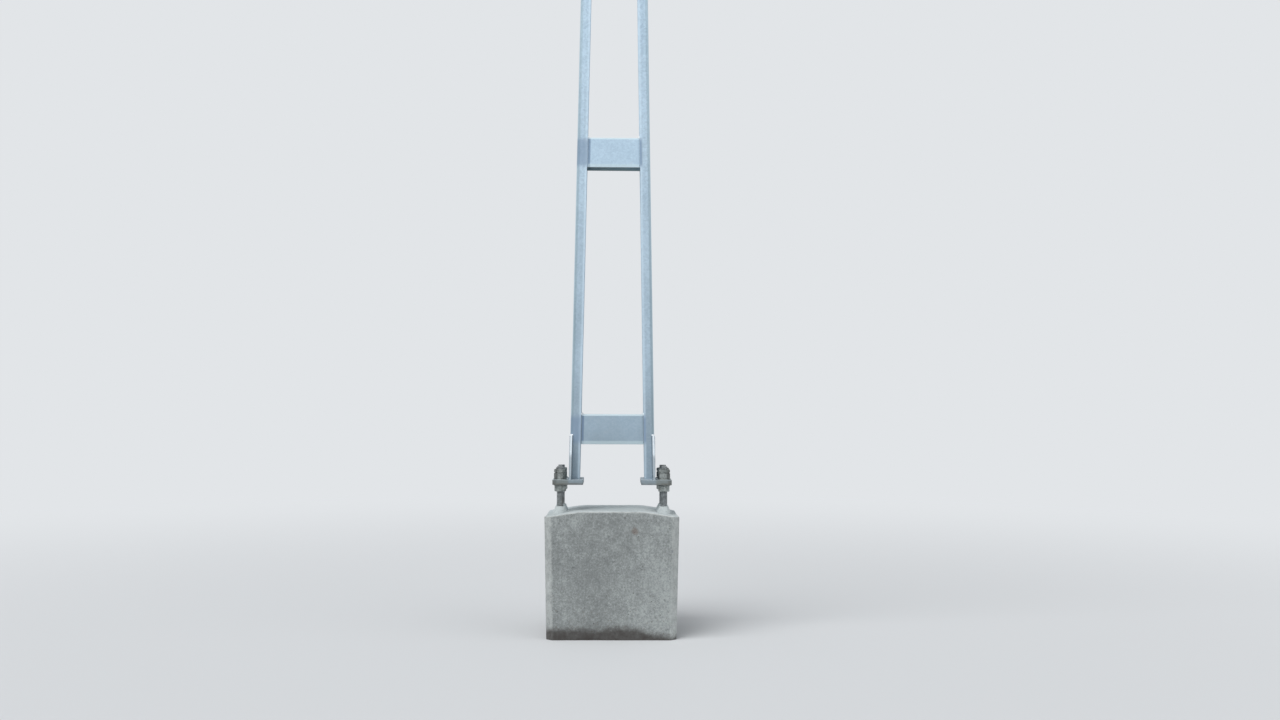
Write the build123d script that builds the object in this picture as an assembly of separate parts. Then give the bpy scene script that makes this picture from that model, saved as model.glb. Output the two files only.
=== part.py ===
from build123d import *
import os
from math import atan, cos, pi, sin, sqrt, tan

# Railway catenary mast, in millimetres.
# Two bent channels lean towards each other, tied by flat battens, and stand on a concrete plinth.
# X runs across the track, Y along it and Z up. The origin is under the middle of the plinth.

# Legs
mast_length = 8000.0
clear_width_at_foot = 326.0
clear_width_at_top = 36.0
leg_depth = 120.0
flange_width = 52.0
sheet_thickness = 7.0
bend_radius = 15.0

# Battens, at equal steps up the mast
batten_levels = 6
lowest_batten = 250.0
top_batten_drop = 750.0
batten_height = 150.0
batten_thickness = 10.0
batten_lap = 15.0

# Cap on top of both legs
cap_thickness = 8.0
cap_setback = 3.0
cap_corner_chamfer = 6.0

# Foot plates and their gussets
foot_plate_thickness = 25.0
foot_plate_inner_margin = 18.0
foot_plate_rim = 5.0
foot_plate_edge_break = 2.0
bolt_spacing_along_track = 160.0
gusset_height = 200.0
gusset_thickness = 10.0
gusset_nose = 20.0
gusset_snipe = 12.0
gusset_setback = 6.0

# Anchor bolts, nuts and washers
bolt_diameter = 36.0
bolt_end_chamfer = 3.0
bolt_projection = 14.0
bolt_embedment = 350.0
nut_across_flats = 55.0
nut_height = 29.0
lock_nut_height = 18.0
nut_face_share = 0.95
nut_chamfer_angle = 30.0
nut_chamfer_flats = 12
washer_diameter = 66.0
washer_thickness = 5.0
washer_to_leg = 11.0

# Plinth
plinth_height = 610.0
plinth_side_margin = 71.0
plinth_end_margin = 200.0
plinth_base_setback = 12.0
plinth_corner_chamfer = 30.0
plinth_top_chamfer = 14.0
gap_under_foot_plates = 130.0
collar_height = 24.0
collar_wall = 6.0
collar_flare = 14.0

# Clearances between pieces
seat_gap = 0.3
thread_gap = 0.3
washer_play = 1.0
plate_hole_play = 3.0

# Places that follow from the sizes above
foot_level = plinth_height + gap_under_foot_plates + foot_plate_thickness
top_level = foot_level + mast_length
lean = (clear_width_at_foot - clear_width_at_top) / 2 / mast_length
bolt_radius = bolt_diameter / 2
washer_radius = washer_diameter / 2
bolt_x = clear_width_at_foot / 2 + flange_width + washer_to_leg + washer_radius
bolt_y = bolt_spacing_along_track / 2
foot_plate_depth = 2 * (bolt_y + washer_radius + foot_plate_rim)
corners = {
    "left_front": (-bolt_x, -bolt_y),
    "left_rear": (-bolt_x, bolt_y),
    "right_front": (bolt_x, -bolt_y),
    "right_rear": (bolt_x, bolt_y),
}


# Half the clear width between the flange toes, at a height above the foot plates
def toe_x(height):
    return clear_width_at_foot / 2 - lean * height


# Outline of the plinth at one level, with its corners cut off
def plinth_outline(level, setback, corner_cut=plinth_corner_chamfer):
    half_width = bolt_x + plinth_side_margin - setback
    half_depth = bolt_y + plinth_end_margin - setback
    outline = chamfer(Rectangle(2 * half_width, 2 * half_depth).vertices(), corner_cut)
    return Pos(0, 0, level) * outline.face()


# Block that narrows towards the ground, drawn through three outlines, the upper two for the chamfered rim
def plinth_block():
    draft = atan(plinth_base_setback / plinth_height)
    rim_level = plinth_height - plinth_top_chamfer * cos(draft)
    corner_cut_on_top = plinth_corner_chamfer - plinth_top_chamfer * (2 - sqrt(2))
    outlines = [
        plinth_outline(0, plinth_base_setback),
        plinth_outline(rim_level, plinth_top_chamfer * sin(draft)),
        plinth_outline(plinth_height, plinth_top_chamfer, corner_cut_on_top),
    ]
    return loft(outlines, ruled=True)


# Plinth: the block, with a conical collar and a cast-in hole at each bolt
def concrete_plinth():
    block = plinth_block()
    collar_top = bolt_radius + collar_wall
    collar = Cone(collar_top + collar_flare, collar_top, collar_height)
    hole = Cylinder(bolt_radius + thread_gap, bolt_embedment + collar_height)
    for x, y in corners.values():
        block += Pos(x, y, plinth_height + collar_height / 2) * collar
    for x, y in corners.values():
        block -= Pos(x, y, plinth_height + (collar_height - bolt_embedment) / 2) * hole
    return block


# Bent channel section of the right leg: web outwards, flanges towards the mast's middle
def channel_section():
    trough_width = flange_width - sheet_thickness
    outside = Pos(flange_width / 2, 0) * Rectangle(flange_width, leg_depth)
    inside = Pos(trough_width / 2, 0) * Rectangle(trough_width, leg_depth - 2 * sheet_thickness)
    outside = fillet(outside.vertices().group_by(Axis.X)[-1], bend_radius)
    inside = fillet(inside.vertices().group_by(Axis.X)[-1], bend_radius - sheet_thickness)
    return outside - inside


# A level face drawn up along the lean of the right leg
def drawn_up(face, height):
    return Solid.extrude(face, Vector(-lean * height, 0, height))


# Leg: the section drawn up along its lean, with level ends
def right_leg():
    section = Pos(toe_x(0), 0, foot_level) * channel_section()
    return drawn_up(section.face(), mast_length)


# Foot plate under one leg, with a clearance hole for each of its two bolts
def right_foot_plate():
    inner_x = toe_x(0) - foot_plate_inner_margin
    outer_x = bolt_x + washer_radius + foot_plate_rim
    middle = Pos((inner_x + outer_x) / 2, 0, foot_level - foot_plate_thickness / 2)
    plate = middle * Box(outer_x - inner_x, foot_plate_depth, foot_plate_thickness)
    plate = chamfer(plate.edges().filter_by(Axis.Z), foot_plate_edge_break)
    hole = Cylinder(bolt_radius + plate_hole_play / 2, foot_plate_thickness)
    for side in (-1, 1):
        plate -= Pos(bolt_x, side * bolt_y, foot_level - foot_plate_thickness / 2) * hole
    return plate


# Gusset flush with the web, from the bend of the front flange to the front edge of the foot plate
def right_front_gusset():
    flange_y = -leg_depth / 2
    bend_y = flange_y + bend_radius / 2
    edge_y = gusset_setback - foot_plate_depth / 2
    outline = Polyline(
        (flange_y - gusset_snipe, foot_level),
        (edge_y, foot_level),
        (edge_y, foot_level + gusset_nose),
        (flange_y - gusset_nose, foot_level + gusset_height),
        (bend_y, foot_level + gusset_height),
        (bend_y, foot_level + gusset_snipe),
        (flange_y, foot_level + gusset_snipe),
        close=True,
    )
    middle_x = toe_x(0) + flange_width - gusset_thickness / 2
    strip = Pos(middle_x, (bend_y + edge_y) / 2, foot_level) * Rectangle(gusset_thickness, bend_y - edge_y)
    blank = drawn_up(strip.face(), gusset_height)
    return blank & extrude(Plane.YZ * make_face(outline), bolt_x) - right_leg()


# Batten behind the front flanges, with ends cut to the lean of the legs
def front_batten(height):
    front_y = sheet_thickness + seat_gap - leg_depth / 2
    low = height - batten_height / 2
    high = height + batten_height / 2
    low_x = toe_x(low) + batten_lap
    high_x = toe_x(high) + batten_lap
    outline = Polyline(
        (-low_x, foot_level + low),
        (low_x, foot_level + low),
        (high_x, foot_level + high),
        (-high_x, foot_level + high),
        close=True,
    )
    plate = extrude(Plane.XZ * make_face(outline), -batten_thickness)
    return Pos(0, front_y, 0) * plate


# Heights of the battens' middles above the foot plates
def batten_heights():
    step = (mast_length - top_batten_drop - lowest_batten) / (batten_levels - 1)
    return [lowest_batten + step * level for level in range(batten_levels)]


# Cap plate that closes the top of both legs
def top_cap():
    width = 2 * (toe_x(mast_length) + flange_width - cap_setback)
    depth = leg_depth - 2 * cap_setback
    plate = Pos(0, 0, top_level + cap_thickness / 2) * Box(width, depth, cap_thickness)
    return chamfer(plate.edges().filter_by(Axis.Z), cap_corner_chamfer)


# Threaded rod from inside the plinth to above the lock nut, with a chamfered upper end
def anchor_bolt():
    low = plinth_height - bolt_embedment
    high = foot_level + washer_thickness + nut_height + lock_nut_height + bolt_projection
    rod = Pos(0, 0, (low + high) / 2) * Cylinder(bolt_radius, high - low)
    return chamfer(rod.faces().sort_by(Axis.Z)[-1].edges(), bolt_end_chamfer)


# Hexagon nut standing on a level, with the corners of both faces taken off by a ring of flats
def hexagon_nut(level, height):
    corner_radius = nut_across_flats / 2 / cos(pi / 6)
    rim = RegularPolygon(corner_radius / cos(pi / nut_chamfer_flats), nut_chamfer_flats)
    bevel = (corner_radius - nut_across_flats / 2 * nut_face_share) * tan(nut_chamfer_angle * pi / 180)
    end = extrude(rim, bevel, taper=90 - nut_chamfer_angle)
    ring = Pos(0, 0, bevel) * extrude(rim, height - 2 * bevel)
    ring += Pos(0, 0, height - bevel) * end
    ring += mirror(Pos(0, 0, height - bevel) * end, Plane.XY.offset(height / 2))
    prism = extrude(RegularPolygon(corner_radius, 6) - Circle(bolt_radius + thread_gap), height)
    return Pos(0, 0, level) * (prism & ring)


# One washer at each bolt, lying on a level
def washers(level):
    ring = Circle(washer_radius) - Circle(bolt_radius + washer_play / 2)
    ring = extrude(ring, washer_thickness)
    return [Pos(x, y, level) * ring for x, y in corners.values()]


def all_pieces():
    under_plates = foot_level - foot_plate_thickness - washer_thickness
    on_washers = foot_level + washer_thickness
    pieces = {
        "concrete_plinth": concrete_plinth(),
        "lower_washers": Compound(children=washers(under_plates)),
        "upper_washers": Compound(children=washers(foot_level)),
        "top_cap": top_cap(),
    }
    for corner, (x, y) in corners.items():
        place = Pos(x, y, 0)
        pieces["anchor_bolt_" + corner] = place * anchor_bolt()
        pieces["levelling_nut_" + corner] = place * hexagon_nut(under_plates - nut_height, nut_height)
        pieces["clamping_nut_" + corner] = place * hexagon_nut(on_washers, nut_height)
        pieces["lock_nut_" + corner] = place * hexagon_nut(on_washers + nut_height, lock_nut_height)
    for name, piece in (("leg", right_leg()), ("foot_plate", right_foot_plate())):
        pieces["right_" + name] = piece
        pieces["left_" + name] = mirror(piece, Plane.YZ)
    gusset = right_front_gusset()
    pieces["gusset_right_front"] = gusset
    pieces["gusset_right_rear"] = mirror(gusset, Plane.XZ)
    pieces["gusset_left_front"] = mirror(gusset, Plane.YZ)
    pieces["gusset_left_rear"] = mirror(mirror(gusset, Plane.XZ), Plane.YZ)
    for number, height in enumerate(batten_heights(), start=1):
        batten = front_batten(height)
        pieces["front_batten_%d" % number] = batten
        pieces["rear_batten_%d" % number] = mirror(batten, Plane.XZ)
    return pieces


os.makedirs("parts", exist_ok=True)
for name, piece in all_pieces().items():
    export_step(piece, "parts/" + name + ".step")
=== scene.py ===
# %% [markdown]
# # The looks of a railway catenary mast
#
# The mast stands in its CAD frame already: two leaning channels, their battens, the foot plates, the anchor
# hardware and the concrete plinth. This lesson dresses it. Flat steel keeps its CAD mesh and gets softened
# edges and a zinc finish. Concrete, threads, nuts, washers and welds are modelled again, finer than in CAD.

from math import atan2, cos, hypot, pi, radians, sin, sqrt

import bmesh
import bpy
from mathutils import Matrix, Vector, noise


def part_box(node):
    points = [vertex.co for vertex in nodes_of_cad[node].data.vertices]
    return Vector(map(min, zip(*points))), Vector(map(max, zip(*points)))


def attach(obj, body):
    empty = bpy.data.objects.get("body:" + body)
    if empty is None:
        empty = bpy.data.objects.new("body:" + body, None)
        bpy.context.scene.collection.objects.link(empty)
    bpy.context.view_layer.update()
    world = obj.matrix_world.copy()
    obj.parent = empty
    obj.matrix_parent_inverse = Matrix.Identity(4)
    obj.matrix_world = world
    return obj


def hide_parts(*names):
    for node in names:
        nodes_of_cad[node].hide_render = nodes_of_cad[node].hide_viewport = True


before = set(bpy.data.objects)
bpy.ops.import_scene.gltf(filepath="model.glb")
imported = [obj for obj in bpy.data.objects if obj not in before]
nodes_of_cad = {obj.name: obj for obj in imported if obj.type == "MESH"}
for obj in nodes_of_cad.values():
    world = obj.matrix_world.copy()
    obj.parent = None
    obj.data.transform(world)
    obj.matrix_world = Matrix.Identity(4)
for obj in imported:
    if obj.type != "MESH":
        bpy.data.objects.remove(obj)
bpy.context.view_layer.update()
MM = 0.001

# %% [markdown]
# ## Places read from the frame
#
# Nothing below repeats a place by hand if the frame can give it. The boxes of a few nodes say where the
# plates, the bolts and the plinth are, so that a new pack moves the looks with it. The hardware stands at
# four corners, each with two signs: -1 for left or 1 for right, and -1 for the front or 1 for the rear.

# %% Levels and centres
corners = {
    "left_front": (-1, -1),
    "left_rear": (-1, 1),
    "right_front": (1, -1),
    "right_rear": (1, 1),
}


def middle_of(node):
    low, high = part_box(node)
    return (low + high) / 2


bolt_centres = {corner: middle_of("anchor_bolt_" + corner) for corner in corners}
plinth_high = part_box("concrete_plinth")[1]
leg_low, leg_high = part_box("right_leg")
foot_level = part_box("right_foot_plate")[1].z
mast_length = leg_high.z - foot_level
leg_half_depth = leg_high.y
print("foot level", round(foot_level, 4), "mast length", round(mast_length, 4))

# %% [markdown]
# The legs lean towards each other, so a place on a leg needs the half width of the mast at its height.
# Each leg is a channel 120 mm deep and 52 mm wide, bent from plate, so the corners by its web are round.

# %% The leaning legs
flange_width = 52 * MM
sheet_thickness = 7 * MM
bend_radius = 15 * MM
gusset_thickness = 10 * MM
toe_at_foot = leg_high.x - flange_width
toe_at_top = leg_low.x


def toe_x(level):
    share = (level - foot_level) / mast_length
    return toe_at_foot + (toe_at_top - toe_at_foot) * share


def web_x(level):
    return toe_x(level) + flange_width


batten_levels = sorted(middle_of(node).z for node in nodes_of_cad if node.startswith("front_batten"))
batten_step = batten_levels[1] - batten_levels[0]
batten_half_height = 75 * MM
print("half clear width", round(toe_at_foot, 4), "at the foot and", round(toe_at_top, 4), "at the top")
print("battens every", round(batten_step, 4), "from", round(batten_levels[0], 4))

# %% [markdown]
# ## Shader sums
#
# A finish is a net of nodes. Written as Python sums it stays readable: one small class wraps an output
# socket, and each plus, minus or times adds a Math node. Another class holds the tree and makes any
# other node from its type, its settings and the values of its sockets.


# %% A socket that takes part in sums
class Number:
    def __init__(self, net, socket):
        self.net = net
        self.socket = socket

    def math(self, operation, *terms):
        return self.net.node("Math", {"operation": operation}, dict(enumerate(terms)))

    def __add__(self, other):
        return self.math("ADD", self, other)

    __radd__ = __add__

    def __mul__(self, other):
        return self.math("MULTIPLY", self, other)

    __rmul__ = __mul__

    def __sub__(self, other):
        return self.math("SUBTRACT", self, other)

    def __rsub__(self, other):
        return self.math("SUBTRACT", other, self)

    def __abs__(self):
        return self.math("ABSOLUTE", self)

    def __pow__(self, other):
        return self.math("POWER", self, other)

    def most(self, other):
        return self.math("MAXIMUM", self, other)

    def fade(self, start, end):
        values = {"Value": self, "From Min": start, "From Max": end}
        return self.net.node("MapRange", {"interpolation_type": "SMOOTHSTEP"}, values)

    def away_from_nearest(self, first, step):
        return self.math("PINGPONG", self - first, step / 2)

    def output(self, name):
        return Number(self.net, self.socket.node.outputs[name])


# %% A tree of nodes
class Net:
    def __init__(self, tree):
        self.tree = tree
        self.tree.nodes.clear()

    def node(self, kind, settings=None, sockets=None, output=0):
        made = self.tree.nodes.new("ShaderNode" + kind)
        for name, value in (settings or {}).items():
            setattr(made, name, value)
        for name, value in (sockets or {}).items():
            if isinstance(value, Number):
                self.tree.links.new(value.socket, made.inputs[name])
            else:
                made.inputs[name].default_value = value
        return Number(self, made.outputs[output]) if len(made.outputs) else made

    def blend(self, share, first, second, kind="MIX"):
        settings = {"data_type": "RGBA", "blend_type": kind}
        return self.node("Mix", settings, {0: share, 6: first, 7: second}, output=2)

    def shift(self, vector, other, operation="ADD"):
        return self.node("VectorMath", {"operation": operation}, {0: vector, 1: other})


# %% [markdown]
# Colours are easiest to compare with a picture as three numbers from 0 to 255, while a shader works in
# linear light. This helper turns one into the other.


# %% Colour from picture values
def paint(red, green, blue):
    parts = [c / 255 for c in (red, green, blue)]
    linear = [c / 12.92 if c < 0.04045 else ((c + 0.055) / 1.055) ** 2.4 for c in parts]
    return (*linear, 1.0)


print("mid grey in linear light", [round(c, 3) for c in paint(128, 128, 128)[:3]])

# %% [markdown]
# Most finishes need the place on the piece, clouds of noise, random cells and now and then a ragged spot.
# Every piece sits untransformed at the origin, so Object coordinates are metres in the mast's own frame, and
# a noise scale of 100 means details about 10 mm across.


# %% A material with its usual helpers
class Finish(Net):
    def __init__(self, name):
        self.material = bpy.data.materials.new(name)
        self.material.use_nodes = True
        super().__init__(self.material.node_tree)
        self.place = self.node("TexCoord", output="Object")
        self.x = self.node("SeparateXYZ", sockets={0: self.place})
        self.y = self.x.output("Y")
        self.z = self.x.output("Z")

    def clouds(self, scale, detail=3.0, roughness=0.55, stretch=None):
        place = self.shift(self.place, stretch, "MULTIPLY") if stretch else self.place
        sockets = {"Vector": place, "Scale": scale, "Detail": detail, "Roughness": roughness}
        return self.node("TexNoise", sockets=sockets)

    def cells(self, scale, place=None):
        return self.node("TexVoronoi", sockets={"Vector": place or self.place, "Scale": scale})

    def warped(self, scale, amount):
        swirl = self.clouds(scale).output("Color")
        swirl = self.shift(swirl, (0.5, 0.5, 0.5), "SUBTRACT")
        swirl = self.shift(swirl, (amount, amount, amount), "MULTIPLY")
        return self.shift(self.place, swirl)

    def random_of(self, cells):
        return self.node("SeparateColor", sockets={0: cells.output("Color")})

    def spot(self, centre, size):
        offset = self.shift(self.warped(60, 14 * MM), centre, "SUBTRACT")
        distance = self.node("VectorMath", {"operation": "LENGTH"}, {0: offset}, output="Value")
        return distance.fade(size, size * 0.35)

    def bump(self, height, strength, distance, under=None):
        sockets = {"Height": height, "Strength": strength, "Distance": distance}
        if under:
            sockets["Normal"] = under
        return self.node("Bump", sockets=sockets)

    def finish(self, colour, roughness, metallic=0.0, normal=None, specular=0.5):
        sockets = {"Base Color": colour, "Roughness": roughness, "Metallic": metallic}
        sockets["Specular IOR Level"] = specular
        if normal:
            sockets["Normal"] = normal
        shader = self.node("BsdfPrincipled", sockets=sockets)
        self.node("OutputMaterial", sockets={"Surface": shader})
        return self.material


# %% [markdown]
# ## Hot-dip galvanised steel
#
# Molten zinc freezes on the steel as a skin of crystals, the spangle, each a little lighter or darker and
# smoother or rougher than the next. Over it lie broad clouds, upright streaks where zinc and rain ran down,
# and pale patches of white zinc salts. Cells give the crystals, and noise stretched along the leg gives
# the streaks. Near the ground the zinc is darker, partly from dust and partly as painted shade, most of it in
# the lowest 0.7 m, and the rest fades out 2.6 m up. What is particular to one kind of piece comes as tints,
# each a share drawn on the piece and a colour.

# %% The zinc finish
dust_and_shade_reaches = (2.6, 0.7)


def galvanised(name, dark, light, spangle=9 * MM, streak=0.35, dust_and_shade_share=1.0, shine=0.62, tints=()):
    net = Finish(name)
    crystals = net.random_of(net.cells(1 / spangle, net.warped(220, 4 * MM)))
    grains = net.random_of(net.cells(3 / spangle, net.warped(500, 2 * MM)))
    clouds = net.clouds(1.7, detail=4)
    patches = net.clouds(7.0, detail=5, roughness=0.6)
    streaks = net.clouds(1.0, detail=4, stretch=(55.0, 55.0, 1.3))
    shade = 0.5 + 0.8 * (clouds - 0.5) + streak * (streaks - 0.5)
    shade = shade + 0.24 * (crystals - 0.5) + 0.1 * (grains - 0.5)
    salts = net.clouds(16.0, detail=6, roughness=0.7).fade(0.56, 0.72) * patches.fade(0.42, 0.62)
    # dust and painted shade: the zinc is darker towards the ground
    low, lowest = [net.z.fade(foot_level + reach, foot_level) for reach in dust_and_shade_reaches]
    dust_and_shade = 0.38 * low + 0.24 * lowest
    dust_and_shade = dust_and_shade * (0.5 + net.clouds(5.0, detail=5)) * dust_and_shade_share
    colour = net.blend(shade.fade(0.1, 0.9), dark, light)
    colour = net.blend(salts * 0.35, colour, paint(208, 216, 222))
    colour = net.blend(dust_and_shade, colour, paint(118, 130, 138))
    for share_of, tint in tints:
        colour = net.blend(share_of(net), colour, tint)
    roughness = 0.44 + 0.1 * (crystals - 0.5) + 0.22 * salts + 0.3 * dust_and_shade + 0.12 * (patches - 0.5)
    metallic = shine * (1 - 0.5 * salts - 0.55 * dust_and_shade)
    normal = net.bump(crystals * 0.5 + net.clouds(900, detail=2), 0.25, 0.15 * MM)
    normal = net.bump(net.clouds(24, detail=3), 0.2, 1.2 * MM, under=normal)
    return net.finish(colour, roughness, metallic, normal)


# %% [markdown]
# On the legs the zinc is painted darker and greener over the bend, as shade, with a painted highlight in a
# pale line where the bend meets the web, and painted brighter along the free toe of the flange, as light.
# Beside each batten it is darker, over the whole left flange and along the toe of the right one.


# %% Places on the legs
def from_toe(net):
    return abs(net.x) - toe_at_foot + (net.z - foot_level) * ((toe_at_foot - toe_at_top) / mast_length)


# painted shade over the bend
def over_bend_shade(net):
    return 0.45 * from_toe(net).fade(34 * MM, 42 * MM) * abs(net.y).fade(42 * MM, 50 * MM)


# painted highlight where the bend meets the web
def bend_edge_highlight(net):
    return 0.6 * from_toe(net).fade(47 * MM, 50 * MM) * abs(net.y).fade(38 * MM, 46 * MM)


# painted light along the free toe of the flange
def toe_highlight(net):
    return 0.45 * from_toe(net).fade(16 * MM, 4 * MM)


def at_batten(net):
    away = net.z.away_from_nearest(batten_levels[0], batten_step)
    ragged = 20 * MM * (net.clouds(30, detail=3) - 0.5)
    return (away + ragged).fade(batten_half_height + 10 * MM, batten_half_height - 24 * MM)


def beside_batten(net):
    left = net.x.fade(0, -1 * MM)
    toe = from_toe(net).fade(16 * MM, 6 * MM)
    return at_batten(net) * (left * (0.5 + 0.25 * net.clouds(40, detail=4)) + 0.85 * (1 - left) * toe)


leg_tints = [
    (over_bend_shade, paint(142, 164, 172)),
    (bend_edge_highlight, paint(214, 230, 238)),
    (toe_highlight, paint(214, 233, 246)),
    (beside_batten, paint(126, 147, 172)),
]
leg_zinc = galvanised("leg_zinc", paint(158, 181, 199), paint(205, 226, 241), tints=leg_tints)
print("leg finish", leg_zinc.name, "with", len(leg_zinc.node_tree.nodes), "nodes")

# %% [markdown]
# A batten has a painted shadow in a strip beside the left leg, a painted highlight along its sheared upper
# edge and a painted paler band, as light, along the lower one. Its underside and the low part of the face
# turned into the mast are painted dark, as shade. The gussets are painted bright, as a highlight, and are
# darker towards the foot plate. The foot plates are a duller grey, bluish under the legs and browner out at
# the bolts, painted paler on the top face as light from above, and darker and browner up from their lower
# edges. Welds beside the gussets are painted darker, as the gussets' shade, and the ends where the welder
# stopped are painted brightest of all, as highlights.


# %% Places on the battens, the gussets and the foot plates
# painted shadow of the left leg's flange on the batten's end
def left_end_shadow(net):
    return 0.6 * from_toe(net).fade(-17 * MM, -13 * MM) * net.x.fade(0, -1 * MM)


def from_upper_edge(net):
    return net.z.away_from_nearest(batten_levels[0] + batten_half_height, batten_step)


def from_lower_edge(net):
    return net.z.away_from_nearest(batten_levels[0] - batten_half_height, batten_step)


# painted highlight along the upper edge
def upper_edge_highlight(net):
    return 0.7 * from_upper_edge(net).fade(9 * MM, 5 * MM)


# painted paler band, as light, along the lower edge
def lower_edge_light(net):
    return 0.45 * from_lower_edge(net).fade(20 * MM, 13 * MM)


# painted shade on the underside
def underside_shade(net):
    return 0.7 * from_lower_edge(net).fade(0.9 * MM, 0.3 * MM)


# painted shade low on the face turned into the mast
def inner_face_shade(net):
    return 0.55 * abs(net.y).fade(44 * MM, 43 * MM) * from_lower_edge(net).fade(45 * MM, 22 * MM)


def low_on_gusset(net):
    edge = net.z + 30 * MM * (net.clouds(25, detail=4) - 0.5)
    return 0.7 * edge.fade(foot_level + 134 * MM, foot_level + 104 * MM)


# painted light on the top face of the foot plates
def plate_top_light(net):
    return 0.6 * net.z.fade(foot_level - 2 * MM, foot_level - 0.5 * MM)


def low_on_plate(net):
    patches = net.clouds(26, detail=5).fade(0.3, 0.7)
    return (0.2 + 0.5 * patches) * net.z.fade(foot_level - 10 * MM, foot_level - 22 * MM)


def out_on_plate(net):
    return 0.65 * abs(net.x).fade(212 * MM, 226 * MM)


def plate_end(net):
    return 0.6 * abs(net.x).fade(272 * MM, 284 * MM)


batten_tints = [
    (left_end_shadow, paint(82, 106, 140)),
    (upper_edge_highlight, paint(226, 242, 246)),
    (lower_edge_light, paint(204, 222, 224)),
    (underside_shade, paint(58, 70, 68)),
    (inner_face_shade, paint(66, 90, 80)),
]
gusset_tints = [(low_on_gusset, paint(138, 150, 158))]
plate_tints = [
    (out_on_plate, paint(120, 124, 118)),
    (plate_end, paint(92, 94, 92)),
    (plate_top_light, paint(186, 197, 204)),
    (low_on_plate, paint(98, 94, 86)),
]
batten_zinc = galvanised(
    "batten_zinc", paint(172, 198, 218), paint(206, 228, 244), streak=0.15, tints=batten_tints
)
# painted highlight: brighter, less dusty and less metallic zinc for the gussets and the weld ends
painted_highlight = {"dust_and_shade_share": 0.2, "shine": 0.3}
gusset_highlight_zinc = galvanised(
    "gusset_highlight_zinc", paint(214, 226, 234), paint(238, 246, 250), tints=gusset_tints, **painted_highlight
)
plate_zinc = galvanised("plate_zinc", paint(146, 160, 168), paint(188, 202, 208), tints=plate_tints)
weld_zinc = galvanised("weld_zinc", paint(136, 156, 172), paint(182, 202, 218), spangle=4 * MM)
# painted shade on the welds beside the gussets
shaded_weld = galvanised("shaded_weld", paint(92, 110, 128), paint(132, 150, 168), spangle=4 * MM)
# painted highlight on the weld ends
weld_highlight = galvanised("weld_highlight", paint(232, 240, 245), paint(250, 252, 254), spangle=4 * MM, **painted_highlight)
other_zinc = (batten_zinc, gusset_highlight_zinc, plate_zinc, weld_zinc, shaded_weld, weld_highlight)
print("other zinc", [material.name for material in other_zinc])

# %% [markdown]
# ## Dull zinc on the anchor hardware
#
# Nuts, washers and bolts are dipped and then spun, which leaves a thin, rough, neutral grey skin. Thread
# roots hold grease and dirt. Each bolt stands at a known place, so the distance from its axis tells root
# from crest, and the dirt follows the true thread. Above the plates the hardware is painted darker on its
# outer sides, as shade.


# %% The fastener finish
def fastener(name, dark, light, root_dirt):
    centre = bolt_centres["right_rear"]
    net = Finish(name)
    clouds = net.clouds(60, detail=5, roughness=0.65)
    grains = net.clouds(700, detail=2)
    colour = net.blend((clouds + 0.3 * (grains - 0.5)).fade(0.3, 0.7), dark, light)
    grime = net.clouds(38, detail=6, roughness=0.7).fade(0.52, 0.68)
    colour = net.blend(grime * 0.45, colour, paint(104, 96, 86))
    roughness = 0.5 + 0.2 * grime + 0.12 * (grains - 0.5)
    metallic = 0.7 - 0.4 * grime
    side = abs(net.x) - centre.x
    # painted shade on the outer sides above the plates
    above_plate = net.z.fade(foot_level, foot_level + 4 * MM)
    colour = net.blend(0.6 * side.fade(10 * MM, 17 * MM) * above_plate, colour, paint(58, 60, 58))
    if root_dirt:
        along = abs(net.y) - centre.y
        radius = (side * side + along * along) ** 0.5
        root = radius.fade(17.4 * MM, 15.9 * MM)
        colour = net.blend(root * 0.45, colour, paint(84, 80, 74))
        roughness = roughness + 0.15 * root
    return net.finish(colour, roughness, metallic, net.bump(grains + clouds, 0.3, 0.12 * MM))


nut_zinc = fastener("nut_zinc", paint(112, 118, 117), paint(158, 164, 162), root_dirt=False)
bolt_zinc = fastener("bolt_zinc", paint(142, 148, 150), paint(190, 196, 199), root_dirt=True)
print("fastener finishes", nut_zinc.name, bolt_zinc.name)

# %% [markdown]
# ## Cast concrete
#
# The plinth is precast in a smooth mould. Its face is a mottled grey with sand grains, pinholes from air
# bubbles, painted dark as the shade inside them, faint pale runs of cement milk and paler arrises. It is
# painted a little darker towards its left, as shade. The foot is darker, about 55 mm high on the left and
# dying out towards the right, with soil splashes above it. A small rust mark and a dark spot sit on the face
# where the real one has them. The top was struck off by hand: it falls 24 mm towards both sides, lies 14 mm
# high in front, and rain has washed it paler; it is painted paler still as light from above, most towards
# the back.


# %% Sizes of the plinth
collar_height = 24 * MM
plinth_top = plinth_high.z - collar_height
base_setback = 12 * MM
front_rise = 14 * MM
side_fall = 24 * MM
fall_reach = (130 * MM, 340 * MM)
print("plinth is", [round(c, 3) for c in (2 * plinth_high.x, 2 * plinth_high.y, plinth_top)])


# %% Mottled grey
def cast_grey(net, mottle, fine, sand):
    broad = net.clouds(3.2, detail=5, roughness=0.6)
    runs = net.clouds(1.0, detail=4, stretch=(30.0, 30.0, 2.2))
    shade = 0.37 + 0.6 * (broad - 0.5) + 0.55 * (mottle - 0.5) + 0.85 * (fine - 0.5)
    # the last term is painted shade: the block is darker towards its left
    shade = shade + 1.0 * (sand - 0.5) + 0.12 * (runs - 0.5) + 0.14 * net.x.fade(-0.1, 0.3)
    return net.blend(shade.fade(0.1, 0.9), paint(118, 122, 122), paint(178, 184, 183))


# %% [markdown]
# The pale band runs down the four chamfered corners and round the rim. Both are found from the sizes of the
# block: how far a place is from the corner's chamfer, and how far it is below the shaped top.


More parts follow.
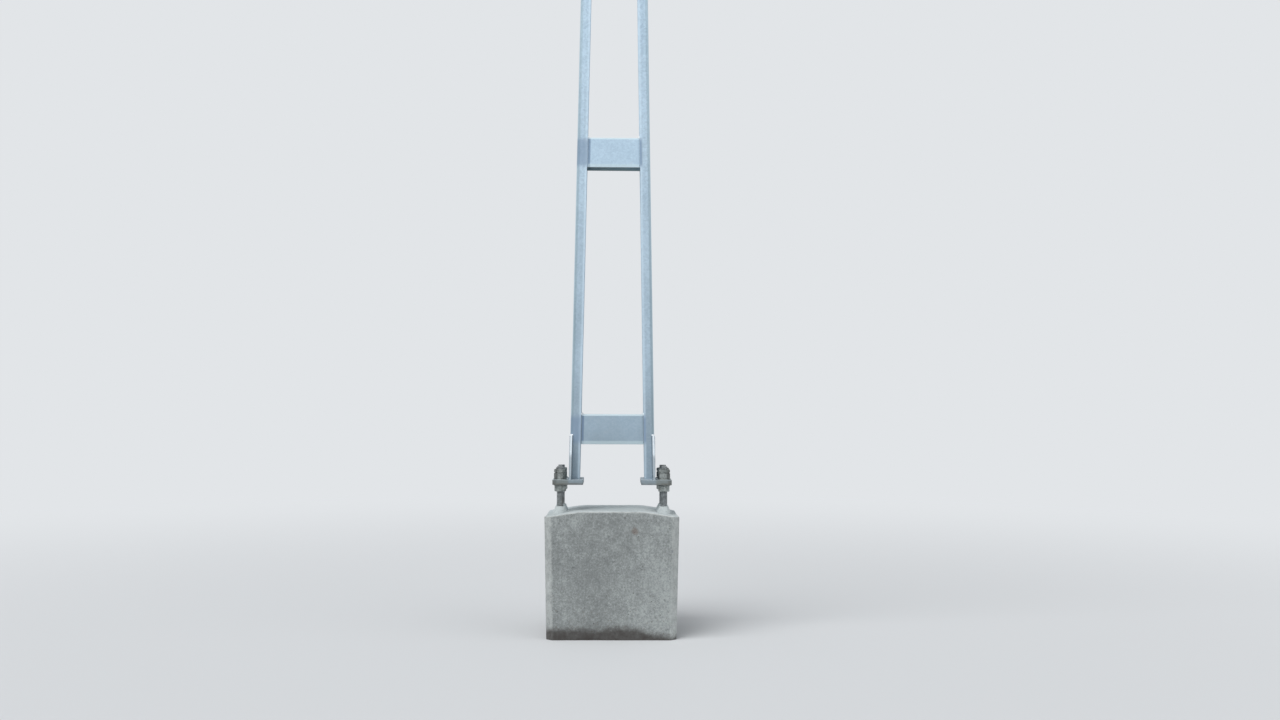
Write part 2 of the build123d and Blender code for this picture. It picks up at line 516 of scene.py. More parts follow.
# %% Pale arrises and the washed top with painted light
def pale_edges(net, colour):
    half_x, half_y = plinth_high.xy
    lean = base_setback / plinth_top * (plinth_top - net.z)
    upright = (abs(net.x) - half_x + abs(net.y) - half_y + 2 * lean).fade(-42 * MM, -26 * MM)
    fall = side_fall * abs(net.x).fade(*fall_reach)
    level = net.z + fall - front_rise * (net.y * (-1 / half_y)).most(0)
    rim = level.fade(plinth_top - 11 * MM, plinth_top - 6 * MM)
    arris = upright.most(rim) * (0.45 + 0.55 * net.clouds(28, detail=5).fade(0.35, 0.6))
    colour = net.blend(arris * 0.48, colour, paint(214, 218, 216))
    # rain washing and painted light from above, more towards the back
    washed_and_lit = level.fade(plinth_top - 5 * MM, plinth_top - 3 * MM)
    rain_and_light = 0.36 + 0.26 * net.y.fade(-100 * MM, 100 * MM)
    return net.blend(washed_and_lit * rain_and_light, colour, paint(204, 216, 220))


# %% Holes left by air
def air_holes(net):
    small = net.cells(150)
    wide = net.cells(46, net.warped(30, 6 * MM))
    pinholes = small.fade(0.22, 0.12) * net.random_of(small).fade(0.74, 0.8)
    return pinholes.most(wide.fade(0.16, 0.08) * net.random_of(wide).fade(0.8, 0.86))


# %% Darker foot and soil splashes
def darker_foot_and_splashes(net, colour):
    drops = net.cells(75, net.warped(60, 5 * MM))
    splash = drops.fade(0.3, 0.18) * net.random_of(drops).fade(0.72, 0.8) * net.z.fade(0.34, 0.04)
    colour = net.blend(0.5 * splash, colour, paint(112, 100, 90))
    ragged = 60 * MM * (net.clouds(9, detail=4) - 0.5)
    ragged = ragged + 40 * MM * (net.clouds(48, detail=5, roughness=0.7) - 0.5)
    line = 8 * MM + 46 * MM * net.x.fade(plinth_high.x - 30 * MM, 0.05) + ragged
    darker_foot = (net.z - line).fade(28 * MM, -20 * MM) * (0.62 + 0.6 * net.clouds(30, detail=5))
    return net.blend(darker_foot, colour, paint(74, 71, 69))


# %% The concrete finish
def concrete(name):
    net = Finish(name)
    mottle = net.clouds(30, detail=6, roughness=0.7)
    fine = net.clouds(110, detail=4, roughness=0.6)
    sand = net.clouds(900, detail=2, roughness=0.6)
    holes = air_holes(net)
    colour = pale_edges(net, cast_grey(net, mottle, fine, sand))
    # the pinholes are painted dark, as the shade inside them
    colour = net.blend(holes * 0.7, colour, paint(64, 63, 60))
    colour = darker_foot_and_splashes(net, colour)
    rust_mark = net.spot((0.112, -plinth_high.y, 0.527), 24 * MM)
    dark_spot = net.spot((0.297, -plinth_high.y, 0.43), 13 * MM)
    colour = net.blend(rust_mark * 0.4, colour, paint(112, 86, 70))
    colour = net.blend(dark_spot * 0.55, colour, paint(82, 88, 98))
    roughness = 0.86 + 0.1 * (mottle - 0.5) + 0.08 * (sand - 0.5)
    normal = net.bump(sand + 0.7 * fine, 0.35, 0.5 * MM)
    normal = net.bump(1 - holes, 0.8, 2 * MM, under=normal)
    return net.finish(colour, roughness, normal=normal, specular=0.3)


cast_concrete = concrete("cast_concrete")
print("concrete finish", cast_concrete.name, "with", len(cast_concrete.node_tree.nodes), "nodes")

# %% [markdown]
# ## Flat steel keeps its CAD mesh
#
# Legs, battens, foot plates and the cap have the right shape already. A CAD solid has perfectly sharp
# edges, though, and steel under zinc never has. Two modifiers put that right without touching the mesh:
# Weld joins its loose triangles and Bevel rounds every sharp edge by about a millimetre.


# %% Finish and soften the CAD steel
same_place = 0.005 * MM


def soften(piece, edge_radius):
    weld = piece.modifiers.new("join", "WELD")
    weld.merge_threshold = same_place
    bevel = piece.modifiers.new("soften", "BEVEL")
    bevel.width = edge_radius
    bevel.segments = 3
    bevel.limit_method = "ANGLE"
    bevel.angle_limit = radians(35)
    bevel.loop_slide = False
    bevel.harden_normals = True


def dress(node, material, edge_radius):
    piece = nodes_of_cad[node]
    piece.data.materials.clear()
    piece.data.materials.append(material)
    soften(piece, edge_radius)


steel_finish = {
    "leg": (leg_zinc, 1.2 * MM),
    "batten": (batten_zinc, 1.0 * MM),
    "foot_plate": (plate_zinc, 1.5 * MM),
    "top_cap": (leg_zinc, 1.2 * MM),
}
for word, (material, edge_radius) in steel_finish.items():
    alike = [node for node in nodes_of_cad if word in node]
    for node in alike:
        dress(node, material, edge_radius)
    print("dressed", len(alike), word)

# %% [markdown]
# ## Turning a bmesh into a piece
#
# Every new piece goes the same way: its mesh is finished in place, its faces are turned outwards, and the
# object is put at the origin and told which body it rides on, while the CAD nodes it stands for are hidden.
# Pieces that repeat, such as washers, are joined in one mesh before that.


# %% Make a piece
def piece_from(bm, name, material, stands_for=(), smooth=True):
    bmesh.ops.recalc_face_normals(bm, faces=bm.faces)
    mesh = bpy.data.meshes.new(name)
    bm.to_mesh(mesh)
    triangles = sum(len(face.verts) - 2 for face in bm.faces)
    bm.free()
    mesh.materials.append(material)
    if smooth:
        mesh.shade_smooth()
        mesh.set_sharp_from_angle(angle=radians(38))
    piece = bpy.data.objects.new(name, mesh)
    bpy.context.scene.collection.objects.link(piece)
    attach(piece, "root")
    if stands_for:
        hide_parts(*stands_for)
    print(name, "has", triangles, "triangles")
    return piece


def add_to(joined, bm):
    mesh = bpy.data.meshes.new("part")
    bm.to_mesh(mesh)
    bm.free()
    joined.from_mesh(mesh)
    bpy.data.meshes.remove(mesh)


def all_of(bm):
    return bm.verts[:] + bm.edges[:] + bm.faces[:]


# %% [markdown]
# ## Gussets
#
# A gusset stiffens the foot of a leg against the pull of the bolts. The bright edge of the real one reaches a
# little higher than in CAD, so a copy of the CAD mesh is merged and its upper points slide up along the lean
# of the leg, which keeps the plate flush with the web and in the curve of the bend.

# %% Gussets, drawn up a little
gusset_rise = 20 * MM


def drawn_up_gusset(node, side):
    bm = bmesh.new()
    bm.from_mesh(nodes_of_cad[node].data)
    bmesh.ops.remove_doubles(bm, verts=bm.verts, dist=same_place)
    low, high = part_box(node)
    upper = [v for v in bm.verts if v.co.z > (low.z + high.z) / 2]
    inwards = toe_x(high.z + gusset_rise) - toe_x(high.z)
    bmesh.ops.translate(bm, vec=(side * inwards, 0, gusset_rise), verts=upper)
    return bm


for corner, (side, front) in corners.items():
    node = "gusset_" + corner
    plate = drawn_up_gusset(node, side)
    gusset = piece_from(plate, "foot_" + node, gusset_highlight_zinc, [node], smooth=False)
    soften(gusset, 1.0 * MM)

# %% [markdown]
# ## The plinth
#
# A precast block with chamfered corners and rim, which narrows a little towards the ground. Its arrises are
# knocked and rounded here and there. It starts as a cube, bevelled as the mould is, and is then cut into a
# grid of small squares, because weathering needs points to move. Smoothing a copy pulls the arrises in and
# leaves the flats, so a cloud of noise can mix the crisp and the worn block. All of it moves inwards, as
# real wear does. The rim is crisper than in CAD, as the pale line along it shows.

# %% The block and its grid
grid_step = 6 * MM
corner_chamfer = 30 * MM
rim_chamfer = 6 * MM
half_at_top = plinth_high.xy
bevel_way = {"affect": "EDGES", "segments": 1, "profile": 0.5, "material": -1}


def cast_block():
    bm = bmesh.new()
    bmesh.ops.create_cube(bm, size=1.0)
    size = (2 * half_at_top[0], 2 * half_at_top[1], plinth_top)
    bmesh.ops.scale(bm, vec=size, verts=bm.verts)
    bmesh.ops.translate(bm, vec=(0, 0, plinth_top / 2), verts=bm.verts)
    upright = [e for e in bm.edges if abs(e.verts[0].co.z - e.verts[1].co.z) > plinth_top / 2]
    bmesh.ops.bevel(bm, geom=upright, offset=corner_chamfer, **bevel_way)
    rim = [e for e in bm.edges if min(v.co.z for v in e.verts) > plinth_top - grid_step]
    bmesh.ops.bevel(bm, geom=rim, offset=rim_chamfer, **bevel_way)
    return bm


def cut_into_grid(bm, step):
    for axis, reach in enumerate((*half_at_top, plinth_top)):
        normal = Vector([float(axis == n) for n in range(3)])
        start = 0.0 if axis == 2 else -reach
        count = round((reach - start) / step)
        for line in range(1, count):
            place = normal * (start + (reach - start) * line / count)
            bmesh.ops.bisect_plane(bm, geom=all_of(bm), plane_co=place, plane_no=normal)


def narrow_to_ground(bm):
    for vertex in bm.verts:
        setback = base_setback * (1 - vertex.co.z / plinth_top)
        for axis, half in enumerate(half_at_top):
            vertex.co[axis] -= setback * max(-1.0, min(1.0, vertex.co[axis] / (half - corner_chamfer)))


plinth = cast_block()
cut_into_grid(plinth, grid_step)
narrow_to_ground(plinth)
print("plinth grid has", len(plinth.verts), "points")

# %% [markdown]
# The underside stays flat on the ground, so points at the very bottom only move sideways. Those in the upper
# tenth of the block go down by the fall towards the sides, or up by the rise in front, each by its share of
# the height.

# %% Wear on the block
smoothing_rounds = 14
least_worn = 0.3
shaped_from = 0.9
smoothing = {"factor": 0.5, "use_axis_x": True, "use_axis_y": True, "use_axis_z": True}


def smooth_step(value, start, end):
    share = max(0.0, min(1.0, (value - start) / (end - start)))
    return share * share * (3 - 2 * share)


def shaped_top(sharp):
    rise = front_rise * max(0.0, -sharp.y / plinth_high.y)
    fall = side_fall * smooth_step(abs(sharp.x), *fall_reach)
    return (rise - fall) * max(0.0, sharp.z / plinth_top - shaped_from) / (1 - shaped_from)


def knocked_share(sharp):
    knocks = noise.fractal(sharp * 24, 1.0, 2.0, 4) + 0.5 * noise.noise(sharp * 7)
    return min(1.0, least_worn + max(0.0, knocks - 0.12) * 2.4)


def ripples_and_pits(sharp):
    ripple = 0.35 * MM * (1 + noise.noise(sharp * 9)) + 0.25 * MM * (1 + noise.noise(sharp * 70))
    pit = max(0.0, noise.noise(sharp * 85 + Vector((3, 1, 7))) - 0.52) * 16 * MM
    return ripple + pit


def wear(bm):
    crisp = [v.co.copy() for v in bm.verts]
    normals = [v.normal.copy() for v in bm.verts]
    for _ in range(smoothing_rounds):
        bmesh.ops.smooth_vert(bm, verts=bm.verts, **smoothing)
    for vertex, sharp, normal in zip(bm.verts, crisp, normals):
        worn = sharp.lerp(vertex.co, knocked_share(sharp))
        worn -= normal * ripples_and_pits(sharp)
        worn.z += shaped_top(sharp)
        worn.z = max(0.0, worn.z) if sharp.z > 0 else 0.0
        vertex.co = worn


wear(plinth)
piece_from(plinth, "cast_plinth", cast_concrete, ["concrete_plinth"])

# %% [markdown]
# ## Mortar collars
#
# Where each anchor bolt leaves the block there is a low cone of mortar. It is a shape of revolution, so
# a short outline, in millimetres, is spun about the bolt. Noise then pushes its points a little inwards and
# down, but not those of the bore.


# %% Collars round the bolts
collar_up = collar_height / MM
collar_foot = -26
collar_outline = [
    (17.6, collar_foot),
    (17.6, collar_up - 1.5),
    (19.5, collar_up),
    (23.5, collar_up - 0.6),
    (27, 15),
    (32.5, 4),
    (40, collar_foot),
]
collar_bore = 19 * MM
pushed_in = 0.03
pushed_down = 1.2 * MM


def spin_outline(bm, outline, steps):
    points = [bm.verts.new((radius * MM, 0, level * MM)) for radius, level in outline]
    edges = [bm.edges.new(pair) for pair in zip(points, points[1:] + points[:1])]
    bmesh.ops.spin(
        bm,
        geom=points + edges,
        cent=(0, 0, 0),
        axis=(0, 0, 1),
        angle=2 * pi,
        steps=steps,
        use_merge=True,
    )
    bmesh.ops.remove_doubles(bm, verts=bm.verts, dist=0.01 * MM)


def mortar_collars():
    joined = bmesh.new()
    for centre in bolt_centres.values():
        bm = bmesh.new()
        spin_outline(bm, collar_outline, 64)
        bmesh.ops.subdivide_edges(bm, edges=bm.edges, cuts=1, use_grid_fill=True)
        base = Vector((centre.x, centre.y, plinth_top))
        for vertex in bm.verts:
            outer = hypot(vertex.co.x, vertex.co.y)
            rough = 1 + noise.fractal((vertex.co + base) * 90, 1.0, 2.0, 3)
            if outer > collar_bore:
                vertex.co.xy *= 1 - pushed_in * rough
            if vertex.co.z > 0:
                vertex.co.z -= pushed_down * max(0.0, rough)
        bmesh.ops.translate(bm, vec=base, verts=bm.verts)
        add_to(joined, bm)
    return joined


piece_from(mortar_collars(), "mortar_collars", cast_concrete, ["concrete_plinth"])

# %% [markdown]
# ## Anchor bolts with a real thread
#
# An M36 rod has a thread with a pitch of 4 mm. The outline of one turn of thread is spun about the rod's
# axis while it rises by one pitch a turn, so each turn's upper edge lands on the next one's lower edge,
# and merging the doubles closes the spiral. Two cuts trim it, and the lower rim is drawn down to the end
# of the rod inside the plinth.

# %% One threaded rod
pitch = 4 * MM
crest_radius = 17.95 * MM
root_radius = 15.6 * MM
thread_steps = 32
thread_outline = [
    (root_radius, 0),
    (root_radius, 0.9 * MM),
    (crest_radius, 2.2 * MM),
    (crest_radius, 2.7 * MM),
    (root_radius, pitch),
]
bolt_low, bolt_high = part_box("anchor_bolt_right_front")
thread_low = plinth_top - 6 * MM
end_chamfer = 3 * MM


def edges_in(geometry):
    return [e for e in geometry if isinstance(e, bmesh.types.BMEdge)]


def spun_thread():
    bm = bmesh.new()
    points = [bm.verts.new((radius, 0, thread_low - 2 * pitch + rise)) for radius, rise in thread_outline]
    edges = [bm.edges.new(pair) for pair in zip(points, points[1:])]
    turns = round((bolt_high.z - thread_low) / pitch) + 4
    bmesh.ops.spin(
        bm,
        geom=points + edges,
        cent=(0, 0, 0),
        axis=(0, 0, 1),
        dvec=(0, 0, pitch / thread_steps),
        angle=2 * pi * turns,
        steps=thread_steps * turns,
        use_merge=False,
    )
    bmesh.ops.remove_doubles(bm, verts=bm.verts, dist=0.02 * MM)
    return bm


def trimmed_rim(bm, level, outwards):
    cut = bmesh.ops.bisect_plane(
        bm, geom=all_of(bm), plane_co=(0, 0, level), plane_no=(0, 0, outwards), clear_outer=True
    )
    return edges_in(cut["geom_cut"])


def drawn_down(bm, rim, level):
    drawn = bmesh.ops.extrude_edge_only(bm, edges=rim)["geom"]
    ends = [v for v in drawn if isinstance(v, bmesh.types.BMVert)]
    bmesh.ops.translate(bm, vec=(0, 0, level - thread_low), verts=ends)
    return [e for e in edges_in(drawn) if e.verts[0] in ends and e.verts[1] in ends]


def threaded_rod():
    bm = spun_thread()
    lower_rim = drawn_down(bm, trimmed_rim(bm, thread_low, -1), bolt_low.z)
    bmesh.ops.holes_fill(bm, edges=lower_rim, sides=0)
    bmesh.ops.holes_fill(bm, edges=trimmed_rim(bm, bolt_high.z, 1), sides=0)
    for vertex in bm.verts:
        radius = hypot(vertex.co.x, vertex.co.y)
        most = crest_radius - max(0.0, vertex.co.z - (bolt_high.z - end_chamfer))
        if radius > most:
            vertex.co.xy *= most / radius
    return bm


# %% [markdown]
# One rod is made and copied to the four bolts, each copy turned by 73 degrees more than the last one, so that
# no two spirals start alike.

# %% Four rods
rod = threaded_rod()
turn_between_rods = radians(73)
for number, corner in enumerate(corners):
    one = rod.copy()
    turn = Matrix.Rotation(turn_between_rods * number, 3, "Z")
    bmesh.ops.rotate(one, matrix=turn, verts=one.verts)
    centre = bolt_centres[corner]
    bmesh.ops.translate(one, vec=(centre.x, centre.y, 0), verts=one.verts)
    piece_from(one, "threaded_rod_" + corner, bolt_zinc, ["anchor_bolt_" + corner])
rod.free()

# %% [markdown]
# ## Nuts
#
# A hexagon nut is forged with its corners turned off in a cone at 30 degrees, which leaves curved edges on
# the six flats. Cutting a six-sided prism with a ring of tilted planes makes just that curve. The round
# face that is left is inset to the bore, and the two bores are bridged.

# %% One hexagon nut
nut_flats = 55 * MM
turned_steps = 48
turned_slope = pi / 6
face_radius = nut_flats / 2 * 0.95
bore_radius = 18.1 * MM
bore_chamfer = 1.2 * MM


def turn_corners_off(bm, height):
    for up in (-1, 1):
        for step in range(turned_steps):
            angle = 2 * pi * (step + 0.5) / turned_steps
            out = Vector((cos(angle), sin(angle), 0))
            normal = out * sin(turned_slope) + Vector((0, 0, up * cos(turned_slope)))
            place = out * face_radius + Vector((0, 0, up * height / 2))
            cut = bmesh.ops.bisect_plane(
                bm, geom=all_of(bm), dist=0.001 * MM, plane_co=place, plane_no=normal, clear_outer=True
            )
            bmesh.ops.holes_fill(bm, edges=edges_in(cut["geom_cut"]), sides=0)


def cut_bore(bm):
    rims = []
    lip = face_radius * cos(pi / turned_steps) - bore_radius - bore_chamfer
    for up in (-1, 1):
        face = max((f for f in bm.faces if f.normal.z * up > 0.99), key=lambda f: f.calc_area())
        bmesh.ops.inset_individual(bm, faces=[face], thickness=lip, depth=0)
        bmesh.ops.inset_individual(bm, faces=[face], thickness=bore_chamfer, depth=-bore_chamfer)
        rims += list(face.edges)
        bmesh.ops.delete(bm, geom=[face], context="FACES_ONLY")
    bmesh.ops.bridge_loops(bm, edges=rims)


def hexagon_nut(height):
    bm = bmesh.new()
    corner_radius = nut_flats / 2 / cos(pi / 6)
    bmesh.ops.create_cone(
        bm, cap_ends=True, segments=6, radius1=corner_radius, radius2=corner_radius, depth=height
    )
    bmesh.ops.rotate(bm, matrix=Matrix.Rotation(pi / 6, 3, "Z"), verts=bm.verts)
    turn_corners_off(bm, height)
    cut_bore(bm)
    return bm


# %% [markdown]
# Twelve nuts go on the bolts: one below each plate to level it, one above to clamp it and a lower one on top
# to lock it. No two on site end up turned alike.

# %% Twelve nuts
degrees_by_kind = {"levelling": 30, "clamping": -14, "lock": -20}
degrees_by_corner = {"left_front": 9, "left_rear": -11, "right_front": 0, "right_rear": 17}
for kind, kind_degrees in degrees_by_kind.items():
    for corner in corners:
        node = kind + "_nut_" + corner
        low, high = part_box(node)
        nut = hexagon_nut(high.z - low.z)
        turn = Matrix.Rotation(radians(degrees_by_corner[corner] + kind_degrees), 3, "Z")
        bmesh.ops.rotate(nut, matrix=turn, verts=nut.verts)
        bmesh.ops.translate(nut, vec=(low + high) / 2, verts=nut.verts)
        piece_from(nut, kind + "_hexagon_" + corner, nut_zinc, [node])

# %% [markdown]
# ## Washers
#
# A punched washer has one edge rolled over by the punch and the other left crisp. The outline of its
# section is spun about the bolt, with a rounder upper rim than lower rim.


# %% Washers under and on the plates
def washers(node, name):
    low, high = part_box(node)
    thickness = (high.z - low.z) / MM
    outer = 33.0
    inner = 18.5
    outline = [
        (inner, 0.3),
        (inner + 0.3, 0),
        (outer - 0.4, 0),
        (outer, 0.4),
        (outer, thickness - 1.3),
        (outer - 0.4, thickness - 0.45),
        (outer - 1.3, thickness),
        (inner + 0.8, thickness),
        (inner, thickness - 0.8),
    ]
    joined = bmesh.new()
    for centre in bolt_centres.values():
        bm = bmesh.new()
        spin_outline(bm, outline, 72)
        bmesh.ops.translate(bm, vec=(centre.x, centre.y, low.z), verts=bm.verts)
        add_to(joined, bm)
    piece_from(joined, name, nut_zinc, [node])


washers("lower_washers", "punched_washers_below")
washers("upper_washers", "punched_washers_above")

# %% [markdown]
# ## Weld beads
#
# Battens, feet, gussets and the cap are joined by fillet welds: rounded beads in the corner between two
# plates, with a fine ripple where the pool froze. A bead starts as a long eight-sided bar cut into rings,
# and each ring is carried to its place on a path that also tells the two plates' directions. Five of its
# sides become the rounded face, three lie hidden in the corner, and the rings swell and shrink with the
# ripple and close at both ends.

# %% One bead
ripple_step = 3.2 * MM
rings_per_ripple = 4
bead_face = [(1.0, 0.0), (0.86, 0.34), (0.62, 0.62), (0.34, 0.86), (0.0, 1.0)]
bead_section = bead_face + [(-0.08, 0.4), (-0.08, -0.08), (0.4, -0.08)]


def lay_bead(joined, path, length, size):
    ripples = max(3, round(length / ripple_step))
    bm = bmesh.new()
    bmesh.ops.create_cone(bm, cap_ends=True, segments=8, radius1=1, radius2=1, depth=1)
    uprights = [e for e in bm.edges if abs(e.verts[0].co.z - e.verts[1].co.z) > 0.5]
    bmesh.ops.subdivide_edges(bm, edges=uprights, cuts=ripples * rings_per_ripple - 1)
    for vertex in bm.verts:
        along = vertex.co.z + 0.5
        corner = round(atan2(vertex.co.y, vertex.co.x) / (pi / 4)) % 8
        a, b = bead_section[corner]
        place, side_a, side_b = path(along)
        rest = min(along, 1 - along) * length / (size * 0.9)
        closing = sqrt(max(0.05, 1 - max(0.0, 1 - rest) ** 2))
        wander = 1 + 0.1 * noise.noise(place * 55)
        swell = 1.0
        if corner in (1, 2, 3):
            swell += 0.09 * sin(2 * pi * (along * ripples) + abs(corner - 2) * 0.9)
        vertex.co = place + (side_a * a + side_b * b) * (size * closing * wander * swell)
    add_to(joined, bm)


def add_bead(joined, start, end, side_a, side_b, size):
    start, end = Vector(start), Vector(end)
    side_a, side_b = Vector(side_a), Vector(side_b)
    lay_bead(joined, lambda share: (start.lerp(end, share), side_a, side_b), (end - start).length, size)


# %% [markdown]
# On each batten a bead runs up along the flange toe of both legs, on the outer face, and another one closes
# the batten's end against the flange inside. The outer bead ends in a blob over the batten's upper corner,
# where the welder stopped, painted bright as a highlight.


# %% Welds of the battens
bead_size = 5 * MM
short_of_end = 4 * MM
past_corner = 8 * MM
batten_lap = 15 * MM
blob_sizes = {-1: 9 * MM, 1: 7 * MM}


def battens():
    for node in sorted(node for node in nodes_of_cad if "batten" in node):
        low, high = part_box(node)
        front = -1 if node.startswith("front") else 1
        yield low, high, front, low.y if front < 0 else high.y


def along_lean(side, lap, y, levels):
    return [(side * (toe_x(level) + lap), y, level) for level in levels]


def batten_welds():
    joined = bmesh.new()
    for low, high, front, face in battens():
        levels = (low.z + short_of_end, high.z - short_of_end)
        for side in (-1, 1):
            outer = along_lean(side, 0, face, levels)
            add_bead(joined, *outer, (-side, 0, 0), (0, front, 0), bead_size)
            inner = along_lean(side, batten_lap, (low.y + high.y) / 2, levels)
            add_bead(joined, *inner, (side, 0, 0), (0, -front, 0), bead_size)
    return joined


def batten_weld_ends():
    joined = bmesh.new()
    for _, high, front, face in battens():
        levels = (high.z - short_of_end, high.z + past_corner)
        for side, size in blob_sizes.items():
            blob = along_lean(side, 0, face, levels)
            add_bead(joined, *blob, (-side, 0, 0), (0, front, 0), size)
    return joined


piece_from(batten_welds(), "batten_welds", weld_zinc)
piece_from(batten_weld_ends(), "batten_weld_ends", weld_highlight)

# %% [markdown]
# The legs are welded all round to their foot plates. Outside, one bead follows the section from toe to toe,
# round both bends. Its path is measured from the middle of the web: straight along the web, then round the
# bend, then straight along the flange. Inside there is a bead along each flange and one along the web.


# %% Welds of the feet
upwards = Vector((0, 0, 1))
round_bead_size = 6 * MM
short_of_toe = 2 * MM
short_of_web = 8 * MM


def round_the_leg(side):
    flat = leg_half_depth - bend_radius
    arc = bend_radius * pi / 2
    reach = flat + arc + flange_width - bend_radius

    def path(share):
        distance = (2 * share - 1) * reach
        front = 1 if distance > 0 else -1
        turn = min(max(abs(distance) - flat, 0), arc) / bend_radius
        past_bend = max(abs(distance) - flat - arc, 0)
        x = web_x(foot_level) - bend_radius * (1 - cos(turn)) - past_bend
        y = front * (min(abs(distance), flat) + bend_radius * sin(turn))
        outwards = Vector((side * cos(turn), front * sin(turn), 0))
        return Vector((side * x, y, foot_level)), outwards, upwards

    return path, 2 * reach


def foot_welds():
    joined = bmesh.new()
    inner_web = web_x(foot_level) - sheet_thickness
    for side in (-1, 1):
        lay_bead(joined, *round_the_leg(side), round_bead_size)
        for front in (-1, 1):
            y = front * (leg_half_depth - sheet_thickness)
            ends = [(side * x, y, foot_level) for x in (toe_at_foot + short_of_toe, inner_web - short_of_web)]
            add_bead(joined, *ends, (0, -front, 0), upwards, bead_size)
        y = leg_half_depth - bend_radius
        ends = (side * inner_web, -y, foot_level), (side * inner_web, y, foot_level)
        add_bead(joined, *ends, (-side, 0, 0), upwards, bead_size)
    return joined


# %% [markdown]
# Each gusset has a bead on both sides of its foot. Up the leg one bead fills the corner before the flange,
# another fills the groove beside the bend, and a short one wraps over the gusset's top end. The beads are
# painted darker, as the gusset's shade, and the short one is painted bright, as a highlight.


# %% Welds of the gussets
past_snipe = 14 * MM
short_of_nose = 3 * MM
short_of_top = 1 * MM
flange_bead_y = 59.2 * MM
groove_bead_y = 52.5 * MM
groove_inset = 2 * MM
wrap_size = 6 * MM
wrap_inset_and_y = ((15 * MM, 59.5 * MM), (-1 * MM, 53 * MM))


def beside_web(side, front, inset, y, level):
    return (side * (web_x(level) - inset), front * y, level)


def gusset_welds():
    joined = bmesh.new()
    for corner, (side, front) in corners.items():
        low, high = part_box("gusset_" + corner)
        reach = (leg_half_depth + past_snipe, max(-low.y, high.y) - short_of_nose)
        for hand, inset in ((-1, gusset_thickness), (1, 0)):
            ends = [beside_web(side, front, inset, y, foot_level) for y in reach]
            add_bead(joined, *ends, (side * hand, 0, 0), upwards, bead_size)
        levels = (foot_level + past_snipe, high.z + gusset_rise - short_of_top)
        before_flange = [beside_web(side, front, gusset_thickness, flange_bead_y, level) for level in levels]
        add_bead(joined, *before_flange, (-side, 0, 0), (0, front, 0), bead_size)
        in_groove = [beside_web(side, front, groove_inset, groove_bead_y, level) for level in levels]
        add_bead(joined, *in_groove, (side, 0, 0), (0, -front, 0), bead_size)
    return joined


def gusset_weld_ends():
    joined = bmesh.new()
    for corner, (side, front) in corners.items():
        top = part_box("gusset_" + corner)[1].z + gusset_rise
        ends = [beside_web(side, front, inset, y, top) for inset, y in wrap_inset_and_y]
        add_bead(joined, *ends, (0, front, 0), upwards, wrap_size)
    return joined


piece_from(foot_welds(), "foot_welds", weld_zinc)
piece_from(gusset_welds(), "gusset_welds", shaded_weld)
piece_from(gusset_weld_ends(), "gusset_weld_ends", weld_highlight)

# %% [markdown]
# The cap sits on the level tops of the legs and is a little smaller, which leaves a ledge for a thin bead all
# round: one along each web and one along each flange.


# %% Welds of the cap
cap_bead_size = 3 * MM
short_of_corner = 8 * MM


def cap_welds():
    joined = bmesh.new()
    low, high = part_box("top_cap")
    for side in (-1, 1):
        along_web = [(side * high.x, y, low.z) for y in (low.y + short_of_corner, high.y - short_of_corner)]
        add_bead(joined, *along_web, (side, 0, 0), upwards, cap_bead_size)
        for front in (-1, 1):
            reach = (toe_at_top + short_of_toe, high.x - short_of_corner)
            along_flange = [(side * x, front * high.y, low.z) for x in reach]
            add_bead(joined, *along_flange, (0, front, 0), upwards, cap_bead_size)
    return joined


piece_from(cap_welds(), "cap_welds", weld_zinc)

# %% [markdown]
# ## Studio
#
# A pale floor with no wall behind it, so that the mast can be looked at from all round. The floor takes the
# shadow near the mast and fades into the colour of the world further out, which hides the horizon. The
# world is seen pale by the camera and by reflections, and lights the rest more softly.

# %% World and floor
backdrop = paint(226, 229, 232)
ambient = 0.52


def studio_world():
    world = bpy.data.worlds.new("studio")
    bpy.context.scene.world = world
    world.use_nodes = True
    net = Net(world.node_tree)
    path = net.node("LightPath", output="Is Camera Ray")
    seen = path.most(path.output("Is Glossy Ray")).most(path.output("Is Transmission Ray"))
    strength = ambient + (1 - ambient) * seen
    shader = net.node("Background", sockets={"Color": backdrop, "Strength": strength})
    net.node("OutputWorld", sockets={"Surface": shader})


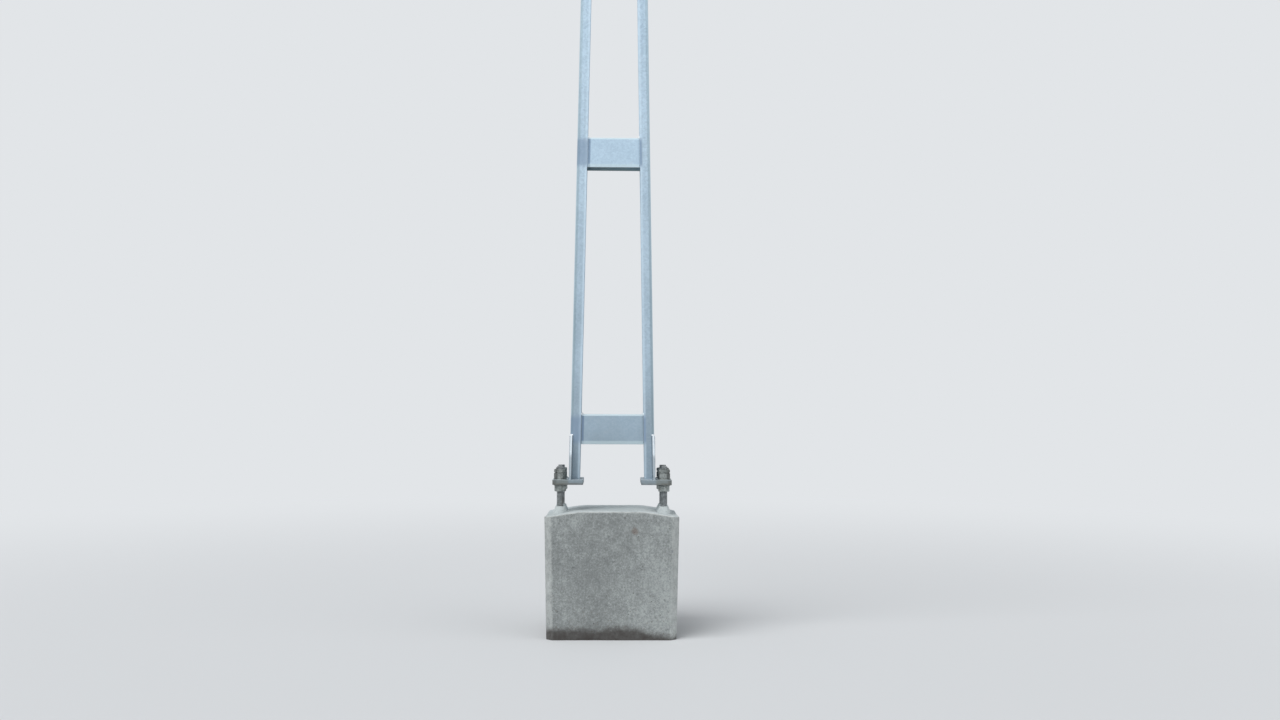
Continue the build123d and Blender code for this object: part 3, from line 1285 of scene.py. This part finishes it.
def studio_floor():
    bm = bmesh.new()
    bmesh.ops.create_circle(bm, cap_ends=True, segments=96, radius=80)
    bmesh.ops.translate(bm, vec=(0, 0, -0.2 * MM), verts=bm.verts)
    mesh = bpy.data.meshes.new("floor")
    bm.to_mesh(mesh)
    bm.free()
    net = Finish("floor_paper")
    far = (net.x * net.x + net.y * net.y) ** 0.5
    near_shader = net.node("BsdfPrincipled", sockets={"Base Color": paint(214, 216, 218), "Roughness": 0.9})
    far_shader = net.node("Emission", sockets={"Color": backdrop, "Strength": 1.0})
    mixed = net.node("MixShader", sockets={0: far.fade(2.0, 9.0), 1: near_shader, 2: far_shader})
    net.node("OutputMaterial", sockets={"Surface": mixed})
    mesh.materials.append(net.material)
    floor = bpy.data.objects.new("floor", mesh)
    bpy.context.scene.collection.objects.link(floor)


studio_world()
studio_floor()
print("world and floor made")

# %% [markdown]
# Two large soft suns light the mast evenly over its whole height, which a lamp nearby couldn't: the key
# from the upper left in front, and a weak fill from the right.


# %% Lights
def soft_sun(name, towards_light, strength, spread):
    lamp = bpy.data.lights.new(name, "SUN")
    lamp.energy = strength
    lamp.angle = radians(spread)
    sun = bpy.data.objects.new(name, lamp)
    sun.rotation_euler = Vector(towards_light).to_track_quat("Z", "Y").to_euler()
    bpy.context.scene.collection.objects.link(sun)


soft_sun("key", (-0.6, -0.62, 1.0), 2.1, 45)
soft_sun("fill", (0.9, -0.5, 0.35), 0.6, 60)

# %% [markdown]
# ## Camera
#
# The picture was taken from about 6.5 m away and 1.16 m above the ground, looking slightly up and a little
# to the right of the mast, with the camera held a quarter of a degree out of level.

# %% Camera at the picture's place
lens = bpy.data.cameras.new("camera")
lens.sensor_fit = "HORIZONTAL"
lens.sensor_width = 36
lens.lens = 36
lens.clip_end = 500
camera = bpy.data.objects.new("camera", lens)
camera.location = (0, -6.5, 1.163)
camera.rotation_euler = (radians(90 + 1.79), radians(-0.23), radians(-1.23))
bpy.context.scene.collection.objects.link(camera)
bpy.context.scene.camera = camera
bpy.context.scene.view_settings.view_transform = "Standard"
print("camera at", [round(c, 3) for c in camera.location])
